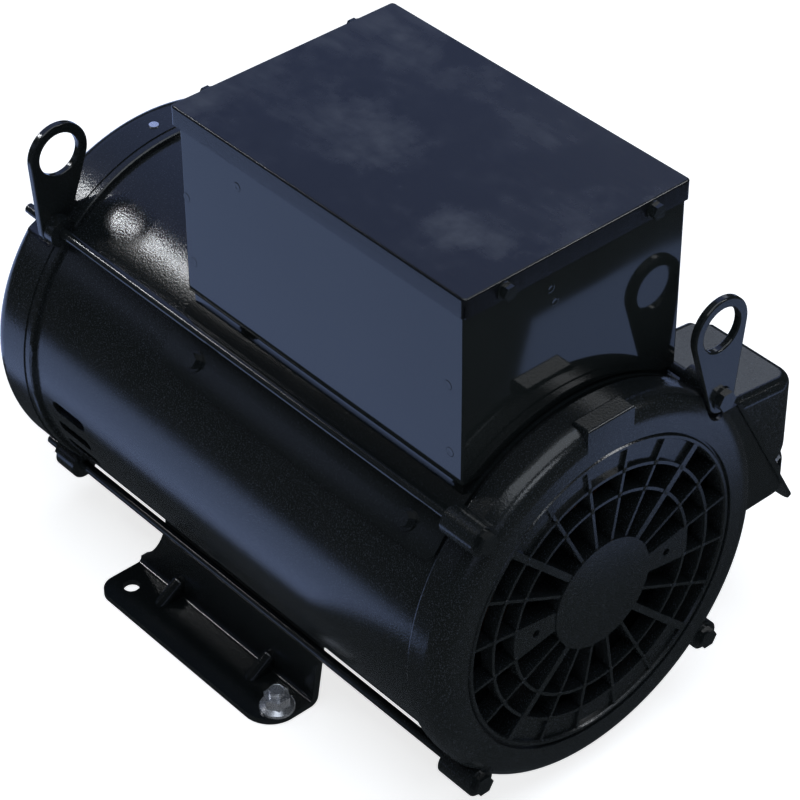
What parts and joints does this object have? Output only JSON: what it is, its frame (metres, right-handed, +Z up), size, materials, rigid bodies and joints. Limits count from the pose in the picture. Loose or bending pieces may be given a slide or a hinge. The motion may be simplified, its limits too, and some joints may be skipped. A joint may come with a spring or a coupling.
{
  "type": "electric motor",
  "caption": "Foot-mounted drip-proof electric motor: round steel body between bolted grille end bells, capacitor box on top, wedge-shaped conduit box at the side and lifting lugs.",
  "frame": {"origin": "on the mounting plane under the feet, midway between the two foot holes at the shaft end", "axes": "+Y along the shaft towards its extension, +Z up from the mounting plane, +X towards the conduit box"},
  "size_m": [0.3185, 0.4933, 0.3569],
  "materials": {
    "painted_sheet": "gloss black paint over rolled sheet steel",
    "painted_cast": "gloss black paint over die-cast aluminium",
    "painted_box": "smooth gloss black paint",
    "painted_fastener": "gloss black paint over steel",
    "zinc": "bright zinc plating",
    "steel": "ground steel",
    "lamination": "varnished steel laminations",
    "winding": "varnished copper wire",
    "cage": "as cast",
    "rubber": "matt black",
    "capacitor_case": "moulded black case",
    "capacitor_can": "drawn can",
    "board": "phenolic board",
    "brass_cage": "machined",
    "lead": "insulated leads in a sleeve"
  },
  "bodies": {
    "motor": {"frame_shell": "painted_sheet", "front_end_bell": "painted_cast", "rear_end_bell": "painted_cast", "through_bolts": "painted_fastener", "through_bolt_nuts": "painted_fastener", "front_lifting_lug": "painted_fastener", "rear_lifting_lug": "painted_fastener", "saddle_plate": "painted_sheet", "saddle_screws": "painted_fastener", "box_riser": "painted_box", "capacitor_box": "painted_box", "box_lid": "painted_box", "lid_screws": "painted_fastener", "run_capacitors": "capacitor_can", "start_capacitors": "capacitor_case", "capacitor_clamps": "zinc", "start_relay": "capacitor_case", "terminal_strip": "board", "box_grommet": "rubber", "capacitor_leads": "lead", "conduit_box_base": "painted_sheet", "conduit_box_cover": "painted_sheet", "conduit_cover_screws": "zinc", "conduit_grommet": "rubber", "motor_leads": "lead", "terminal_board": "board", "terminal_studs": "zinc", "left_foot": "painted_sheet", "right_foot": "painted_sheet", "foot_stud": "zinc", "foot_flange_nut": "zinc", "grease_plug": "zinc", "stator_core": "lamination", "stator_winding": "winding", "front_baffle": "painted_sheet", "rear_baffle": "painted_sheet", "front_bearing_outer_ring": "steel", "rear_bearing_outer_ring": "steel", "wave_spring": "steel", "rear_bearing_cap": "painted_cast", "bearing_cap_screws": "painted_fastener"},
    "rotor": {"shaft": "steel", "rotor_core": "lamination", "rotor_cage": "cage", "shaft_slinger": "rubber", "front_bearing_inner_ring": "steel", "rear_bearing_inner_ring": "steel"},
    "front_ball_set": {"front_bearing_balls": "steel", "front_bearing_cage": "brass_cage"},
    "rear_ball_set": {"rear_bearing_balls": "steel", "rear_bearing_cage": "brass_cage"}
  },
  "joints": [
    {"name": "rotor_spin", "type": "hinge", "parent": "motor", "child": "rotor", "pos_m": [0, 0, 0.13335], "axis": [0, 1, 0], "continuous": true},
    {"name": "front_ball_set_spin", "type": "hinge", "parent": "motor", "child": "front_ball_set", "pos_m": [0, 0, 0.13335], "axis": [0, 1, 0], "continuous": true},
    {"name": "rear_ball_set_spin", "type": "hinge", "parent": "motor", "child": "rear_ball_set", "pos_m": [0, 0, 0.13335], "axis": [0, 1, 0], "continuous": true}
  ],
  "couplings": [
    {"joint": "front_ball_set_spin", "follows": "rotor_spin", "ratio": 0.3985},
    {"joint": "rear_ball_set_spin", "follows": "rotor_spin", "ratio": 0.3835}
  ]
}
